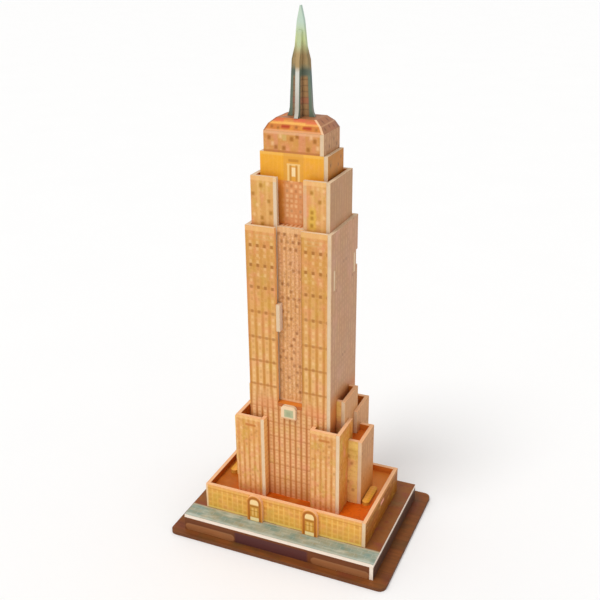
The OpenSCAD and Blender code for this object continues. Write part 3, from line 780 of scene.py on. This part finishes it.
def panel_print():
    """Plinth sides: dark wood with a rounded tablet at each end and a plum-brown middle."""
    graph = Graph("print_panel")
    across, height = graph.x, graph.z
    low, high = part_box("base_front_panel")
    middle = (high[2] + low[2]) / 2 / MM - 1.6
    grain = graph.noise(3.0, 4.0, (16, 16, 1), offset=3.0, roughness=0.6)
    colour = graph.mix(grain, ink(128, 72, 36), ink(98, 54, 28))
    plum = across.near(-4.0, 31.0, 2.0) * height.near(middle + 2.0, 5.0, 1.0)
    colour = colour.tint(plum * 0.8, 78, 42, 48)
    for place, half in ((-57.5, 22.5), (53.5, 24.0)):
        colour = tablet(graph, colour, across, height, place, half - 4.0, middle)
    return printed(colour, 0.05)


def tablet(graph, colour, across, height, place, half, middle):
    """A long rounded panel, with a paler rim along its upper half."""
    beyond = ((across - place).abs() - half).larger(0.0)
    reach = (beyond * beyond + (height - middle) * (height - middle)).power(0.5)
    face = reach.near(0.0, 3.2, 1.4)
    worn = graph.noise(5, 3.0, (3, 1, 1), offset=9.0) * 0.5 + 0.45
    colour = colour.tint(face * worn, 168, 112, 70)
    rim = reach.between(2.8, 3.8, 0.8) * height.rising(middle - 1.0, middle + 2.0)
    return colour.tint(rim * 0.35, 192, 142, 98)


def base_side_print():
    graph = Graph("print_base_side")
    grain = graph.noise(3.0, 4.0, (16, 16, 1), offset=3.0, roughness=0.6)
    return printed(graph.mix(grain, ink(96, 62, 44), ink(68, 44, 34)))


def door_print():
    """A pale double door under a fanlight, inside a deep amber frame."""
    graph = Graph("print_door")
    door = (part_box("door_right")[0][0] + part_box("door_right")[1][0]) / 2 / MM
    across, height, spring = graph.x.abs() - door, graph.z - STREET, ARCH_SPRING
    over = (height - spring).larger(0.0)
    reach = (across * across + over * over).power(0.5)
    colour = graph.paper((226, 152, 62), (214, 138, 48), 5, 2.0)
    colour = colour.tint(reach.between(3.7, 5.6, 0.6) * 0.9, 170, 94, 10)
    inside = reach.near(0.0, 3.7, 0.5)
    colour = colour.tint(inside, 206, 146, 50)
    fan = inside * height.between(spring - 1.6, spring + 3.0, 0.8)
    colour = colour.tint(fan * 0.9, 255, 224, 164)
    sill = inside * height.near(spring - 3.0, 0.6, 0.5)
    colour = colour.tint(sill * 0.8, 160, 98, 16)
    glass = across.abs().between(0.6, 2.4, 0.5) * height.between(5.0, spring - 4.6, 0.8)
    colour = colour.tint(glass * 0.6, 248, 206, 120)
    bar = inside * height.near(spring / 2 + 1.2, 0.4, 0.5)
    colour = colour.tint(bar * 0.6, 164, 104, 20)
    step = inside * height.near(2.0, 1.6, 0.9)
    return printed(colour.tint(step * 0.9, 255, 236, 176))


def crest_print():
    """A grey-green tablet in a cream frame that fades out below."""
    graph = Graph("print_crest")
    height = graph.z - STREET
    middle = (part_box("shaft_crest")[0][2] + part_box("shaft_crest")[1][2]) / 2 / MM - STREET
    inside = graph.x.near(0.4, 3.7, 0.8) * height.near(middle - 0.6, 3.2, 0.8)
    colour = graph.mix(inside, ink(240, 208, 170), ink(174, 180, 142))
    small = graph.x.near(0.2, 1.6, 0.7) * height.near(middle - 1.0, 1.8, 0.7)
    colour = colour.tint(small * 0.5, 146, 156, 124)
    foot = height.rising(middle - 3.8, middle - 5.4)
    return printed(colour.tint(foot * 0.8, 210, 150, 92))


def spire_print(sideways):
    """Blue-green spire with tan storeys, a tan collar and a pale green needle."""
    graph = Graph("print_spire_side" if sideways else "print_spire")
    signed = graph.y - TOWER_MIDDLE if sideways else graph.x
    across = signed.abs()
    height = graph.z - STREET
    colour = graph.paper((120, 138, 118), (92, 110, 98), 5)
    half = height.rising(352.0, 314.0) * 1.2 + 4.6
    column = across.near(half / 2 + 0.8, half / 2 - 0.4, 0.7) * height.rising(342.5, 340.0)
    off = height.from_cell(4.0, 315.0)
    tan = graph.mix(across.near(half / 2 + 0.8, 1.2, 1.4) * 0.7, ink(160, 118, 74), ink(200, 156, 104))
    tan = tan.tint(off.abs().near(2.0, 0.4, 0.6) * 0.5, 104, 72, 52)
    tan = tan.tint(height.near(325.0, 2.0, 1.5) * 0.45, 196, 88, 72)
    tan = tan.tint(signed.below(0.0) * 0.4, 110, 94, 80)
    colour = graph.mix(column * 0.9, colour, tan)
    cap = height.between(341.5, 346.5, 1.5)
    colour = colour.tint(cap * 0.5, 88, 92, 82)
    collar = height.rising(345.0, 349.5)
    olive = graph.paper((186, 160, 110), (160, 128, 84), 4, 2.0)
    colour = graph.mix(collar * 0.9, colour, olive)
    outer = height.rising(362.0, 352.0) * 2.4 + 4.2
    shoulder = across.rising(outer - 1.8, outer - 0.4) * collar * height.rising(364.0, 358.0)
    colour = colour.tint(shoulder * 0.7, 96, 92, 62)
    colour = colour.tint(height.rising(355.0, 365.0), 200, 212, 158)
    tip = height.rising(366.0, 376.0)
    return printed(colour.tint(tip, 192, 214, 196))


def spire_edge(name, low, collar):
    """The edge of a spire fin, which takes on the colours of the print beside it."""
    graph = Graph(name)
    height = graph.z - STREET
    colour = graph.mix(height.rising(338.0, 322.0) * 0.5, low, ink(168, 156, 138))
    colour = graph.mix(height.rising(344.0, 348.0), colour, collar)
    colour = colour.tint(height.rising(356.0, 362.0), 190, 202, 156)
    colour = colour.tint(height.rising(368.0, 376.0), 182, 204, 188)
    return graph.finish(colour, 0.6, graph.noise(0.4, 2.0), 0.06)


def skylight_print():
    graph = Graph("print_skylight")
    # Painted light and shade: paler on the inner part, darker olive on the outer part, as on a rounded
    # top
    colour = graph.mix(graph.x.abs().rising(57.5, 59.5), ink(250, 176, 74), ink(222, 160, 36))
    off = graph.y.from_cell(3.0)
    return printed(colour.tint(off.near(0.0, 0.25, 0.3) * 0.3, 170, 108, 20))


def foam_edge(name, colour, deep):
    """Cut foam: packed beads, torn a little, with soft colour changes along the cut."""
    graph = Graph(name)
    beads = graph.beads(0.55)
    body = graph.paper(colour, deep, 7)
    body = body.tint((beads - 0.35).clamped() * 0.6, *deep)
    bump = graph.noise(0.35, 2.0) - beads * 0.8
    return graph.finish(body, 0.78, bump, 0.12)


def paper_rim(name, colour, deep):
    """The bare rim of the paper skin, where the print stops."""
    graph = Graph(name)
    return graph.finish(graph.paper(colour, deep, 4), 0.62, graph.noise(0.4, 2.0), 0.05)


# ---- foam boards ----


def thin_axis(low, high):
    """The direction a board is thin in: 0, 1 or 2."""
    sizes = [high[i] - low[i] for i in range(3)]
    return sizes.index(min(sizes))


def outward(low, high, axis):
    """+1 or -1: the side of a board that looks out of the model."""
    if axis == 2:
        return 1
    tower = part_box("tier_plate_low")
    middle = (tower[0][axis] + tower[1][axis]) / 2 if axis == 1 else 0.0
    return 1 if (low[axis] + high[axis]) / 2 > middle else -1


def clean_mesh(node):
    """The CAD node's shape with its flat faces whole."""
    mesh = bmesh.new()
    mesh.from_mesh(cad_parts[node].data)
    bmesh.ops.remove_doubles(mesh, verts=mesh.verts, dist=WELD)
    bmesh.ops.dissolve_limit(mesh, angle_limit=FLAT, verts=mesh.verts, edges=mesh.edges)
    bmesh.ops.recalc_face_normals(mesh, faces=mesh.faces)
    return mesh


def is_wall(face, axis):
    return abs(face.normal[axis]) < 0.5


def soften(mesh, edges):
    bmesh.ops.bevel(
        mesh, geom=edges, offset=LIP, segments=2, profile=0.6, affect="EDGES", clamp_overlap=True
    )


def press_rims(mesh, axis):
    """Rounds the rim of both paper skins, as the cutting die leaves them."""
    soften(mesh, [e for e in mesh.edges if len({is_wall(f, axis) for f in e.link_faces}) == 2])


def cut_walls(mesh, axis, place, direction):
    """Cuts only the board's edge faces with one plane."""
    walls = [f for f in mesh.faces if abs(f.normal[axis]) < UPRIGHT]
    edges = {e for f in walls for e in f.edges}
    verts = {v for f in walls for v in f.verts}
    point = [0.0, 0.0, 0.0]
    point[direction] = place
    normal = [0.0, 0.0, 0.0]
    normal[direction] = 1.0
    geom = [*walls, *edges, *verts]
    bmesh.ops.bisect_plane(mesh, geom=geom, dist=CUT_REACH, plane_co=point, plane_no=normal)


def cut_foam(mesh, axis, low, high):
    """Splits the edge faces into skin, foam and skin, and the foam into short lengths."""
    for depth in (SKIN, SKIN + FOAM_STEP):
        cut_walls(mesh, axis, low[axis] + depth, axis)
        cut_walls(mesh, axis, high[axis] - depth, axis)
    for direction in range(3):
        if direction == axis:
            continue
        count = int((high[direction] - low[direction]) / FOAM_LENGTH)
        for i in range(1, count):
            place = low[direction] + (high[direction] - low[direction]) * i / count
            cut_walls(mesh, axis, place, direction)


def sink_foam(mesh, axis, low, high, is_folded):
    """Draws the foam strip back behind the skins, unevenly."""
    mesh.normal_update()
    near_low = low[axis] + SKIN + FOAM_STEP * 0.5
    near_high = high[axis] - SKIN - FOAM_STEP * 0.5
    moves = []
    for vert in mesh.verts:
        if near_low < vert.co[axis] < near_high and not is_folded(vert.co):
            uneven = 0.75 + 0.5 * noise.noise(vert.co / UNEVEN_SIZE + Vector((SEED, 0, 0)))
            moves.append((vert, vert.normal * vert.calc_shell_factor() * FOAM_RECESS * uneven))
    for vert, move in moves:
        vert.co -= move


def dress(mesh, axis, low, high, side, is_folded):
    """Gives each face its print, foam, paper rim or level top edge."""
    outer, inner, foam, lip, top = range(5)
    mesh.normal_update()
    for face in mesh.faces:
        lean = face.normal[axis]
        middle = face.calc_center_median()
        from_face = min(middle[axis] - low[axis], high[axis] - middle[axis])
        if is_folded(middle):
            face.material_index = outer
        elif abs(lean) > FACING and from_face < SKIN_REACH:
            face.material_index = outer if lean * side > 0 else inner
        elif face.normal.z > 0.5 and axis != 2:
            face.material_index = top
        elif from_face < RIM_REACH:
            face.material_index = lip
        else:
            face.material_index = foam


def show(mesh, name, materials, nodes):
    """Turns a mesh into a piece of the model that stands for its CAD nodes."""
    data = bpy.data.meshes.new(name)
    mesh.to_mesh(data)
    mesh.free()
    for material in materials:
        data.materials.append(material)
    piece = placed(name, data)
    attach(piece, "root")
    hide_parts(*nodes)
    return piece


def pick(table, node):
    """The entry of the first rule whose words all fit the node. Front and back boards are faces."""
    words = set(node.split("_"))
    if words & {"front", "back"}:
        words.add("face")
    return next(entry for rule, entry in table.items() if words.issuperset(rule.split()))


# Boards whose left end is a scored fold: the print runs on round the corner to these neighbours
FOLDS = {
    "base face": ["base_left_panel"], "podium face": ["podium_left_wall"],
    "wing side": [], "wing face right": ["wing_inner_right"],
    "wing front left": ["wing_side_front_left"], "wing back left": ["wing_side_back_left"],
    "annex left face": ["annex_left_outer", "annex_left_high"],
    "shaft face": ["shaft_left"], "upper face": ["upper_left"],
    "crown face": ["crown_left", "top_left"], "": [],
}
# Right-hand boards, whose back end is a scored fold
BACK_FOLDS = ("base_right_panel", "podium_right_wall", "annex_right_outer", "shaft_right", "upper_right",
              "crown_right", "top_right", "wing_side_back_right")


def fold_test(node, high):
    """A test that says whether a point lies on the board's folded end."""
    places = [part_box(neighbour)[0][0] for neighbour in pick(FOLDS, node)]
    back = high[1] if node in BACK_FOLDS else None

    def is_folded(point):
        if back is not None and point[1] > back - FOLD_REACH:
            return True
        return any(abs(point[0] - place) < FOLD_REACH for place in places)

    return is_folded


def board(node, prints, edges):
    low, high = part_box(node)
    axis = thin_axis(low, high)
    is_folded = fold_test(node, high)
    mesh = clean_mesh(node)
    press_rims(mesh, axis)
    cut_foam(mesh, axis, low, high)
    sink_foam(mesh, axis, low, high, is_folded)
    dress(mesh, axis, low, high, outward(low, high, axis), is_folded)
    return show(mesh, node + "_board", (*prints, *edges), [node])


def hip(node, front, sides, edge):
    """The solid hipped roof, with softly pressed corners and foam along its underside."""
    mesh = clean_mesh(node)
    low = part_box(node)[0]
    soften(mesh, [e for e in mesh.edges if e.calc_face_angle(0.0) > SHARP_CORNER])
    mesh.normal_update()
    for face in mesh.faces:
        if face.normal.z < -0.5 and face.calc_center_median().z < low.z + LIP:
            face.material_index = 2
        else:
            face.material_index = 1 if abs(face.normal.x) > abs(face.normal.y) else 0
    return show(mesh, node + "_shell", (front, sides, edge), [node])


# ---- the model ----

def board_prints():
    """The prints on the outer and inner face of the nodes with these words in their names."""
    base, panel, podium, roof = base_print(), panel_print(), podium_print(), roof_print()
    outer, side, crown_side = outer_print(), side_print(), crown_side_print()
    door, skylight, step = door_print(), skylight_print(), step_print()
    inner = plain_print("print_inner", (232, 144, 58), (206, 116, 36), 10)
    core = plain_print("print_core", (240, 222, 204), (226, 202, 178), 8)
    wide_fin, deep_fin = spire_print(False), spire_print(True)
    return {
        "base board": (base, base), "base face": (panel, base), "base": (base_side_print(), base),
        "street": (street_print(), roof), "door": (door, door), "skylight": (skylight, skylight),
        "podium roof": (roof, roof), "podium face": (podium, roof), "podium": (podium_side_print(), roof),
        "wing side front": (wing_side_print(), inner), "wing side": (outer, inner),
        "wing inner": (inner, centre_print()), "wing": (wing_print(), inner),
        "annex floor": (roof, roof), "annex face": (annex_print(), inner), "annex": (outer, inner),
        "shaft crest": (crest_print(), inner), "shaft face": (front_print(), inner),
        "shaft": (side, inner),
        "upper face": (upper_print(), inner), "upper": (side, inner),
        "crown face": (crown_print(), inner), "crown": (crown_side, inner), "top": (crown_side, inner),
        "core": (core, core), "tier low": (inner, inner), "tier high": (step, step),
        "fin wide": (wide_fin, wide_fin), "fin deep": (deep_fin, deep_fin),
    }


def board_edges(cream):
    """The foam, the paper rim and the level top edge, in the same way. Plain cream comes last."""
    umber = foam_edge("edge_umber", (122, 72, 36), (98, 56, 28))
    # Amber foam for the low tier plate: painted shade on its edges, which show at the foot of the long
    # recess
    amber = foam_edge("edge_amber_painted_ledge_shade", (208, 126, 64), (186, 98, 44))
    white = foam_edge("foam_white", (252, 240, 226), (238, 222, 204))
    white_rim = paper_rim("rim_white", (246, 230, 212), (234, 212, 188))
    warm = foam_edge("foam_warm", (240, 216, 184), (224, 190, 148))
    warm_rim = paper_rim("rim_warm", (240, 206, 164), (230, 186, 138))
    # Peach is the door foam, and on the podium, wings and annexes the foam that faces up: there it is
    # painted light on the top edges
    peach = foam_edge("foam_peach", (252, 204, 156), (242, 182, 132))
    # Tan foam for the shaft faces: painted warm shade for the reveals of the long recess, in place of
    # cream foam
    tan = foam_edge("foam_tan_painted_recess_shade", (255, 200, 132), (240, 174, 98))
    ochre = foam_edge("foam_ochre", (226, 168, 66), (196, 138, 40))
    pink = foam_edge("foam_pink", (238, 176, 156), (220, 146, 120))
    wide = spire_edge("edge_spire_wide", ink(98, 116, 112), ink(150, 124, 84))
    deep = spire_edge("edge_spire_deep", ink(214, 212, 202), ink(178, 150, 104))
    rim = paper_rim("rim_cream", (238, 208, 168), (222, 182, 134))
    return {
        "base board": [umber] * 3, "base": (white, white_rim, white), "street": (white, white_rim, white),
        "podium roof": [pink] * 3, "podium": (warm, warm_rim, peach), "wing": (warm, warm_rim, peach),
        "annex": (warm, warm_rim, peach), "door": [peach] * 3, "skylight": [ochre] * 3,
        "shaft face": (tan, tan, warm), "tier low": [amber] * 3, "fin wide": [wide] * 3,
        "fin deep": [deep] * 3, "": (cream, rim, cream),
    }


def build_model():
    cream = foam_edge("foam_cream", (236, 214, 184), (214, 182, 142))
    edges = board_edges(cream)
    prints = board_prints()
    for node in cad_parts:
        if node != "hipped_roof":
            board(node, pick(prints, node), pick(edges, node))
    hip("hipped_roof", hip_print(), hip_side_print(), cream)


# ---- floor and light ----

FLOOR_DROP = 0.05 * MM
FLOOR_HALF = 40.0
WORLD_STRENGTH = 0.7
SUN_AZIMUTH = 24.0
SUN_ELEVATION = 58.0
SUN_STRENGTH = 1.2
SUN_SPREAD = 24.0
SUN_COLOUR = (1.0, 0.99, 0.97)


def add_floor():
    graph = Graph("floor_paper")
    colour = graph.paper((254, 254, 254), (252, 252, 252), 120, 2.0)
    material = graph.finish(colour, 0.85)
    mesh = bpy.data.meshes.new("floor")
    corners = [(x * FLOOR_HALF, y * FLOOR_HALF, 0) for x, y in ((-1, -1), (1, -1), (1, 1), (-1, 1))]
    mesh.from_pydata(corners, [], [(0, 1, 2, 3)])
    mesh.materials.append(material)
    floor = placed("floor", mesh)
    floor.location.z = cad_box[0][2] - FLOOR_DROP


def add_sun():
    """Even light from one direction. Azimuth 0 comes from the front, and left is positive."""
    data = bpy.data.lights.new("key", "SUN")
    data.energy = SUN_STRENGTH
    data.angle = math.radians(SUN_SPREAD)
    data.color = SUN_COLOUR
    sun = placed("key", data)
    turn, lift = math.radians(SUN_AZIMUTH), math.radians(SUN_ELEVATION)
    source = Vector((-math.sin(turn) * math.cos(lift), -math.cos(turn) * math.cos(lift), math.sin(lift)))
    sun.rotation_euler = source.to_track_quat("Z", "Y").to_euler()


def add_light():
    world = bpy.data.worlds.new("studio")
    world.use_nodes = True
    back = world.node_tree.nodes["Background"]
    back.inputs["Color"].default_value = (1.0, 1.0, 1.0, 1.0)
    back.inputs["Strength"].default_value = WORLD_STRENGTH
    bpy.context.scene.world = world
    add_sun()
    bpy.context.scene.view_settings.view_transform = "Standard"


build_model()
add_floor()
add_light()
add_camera()
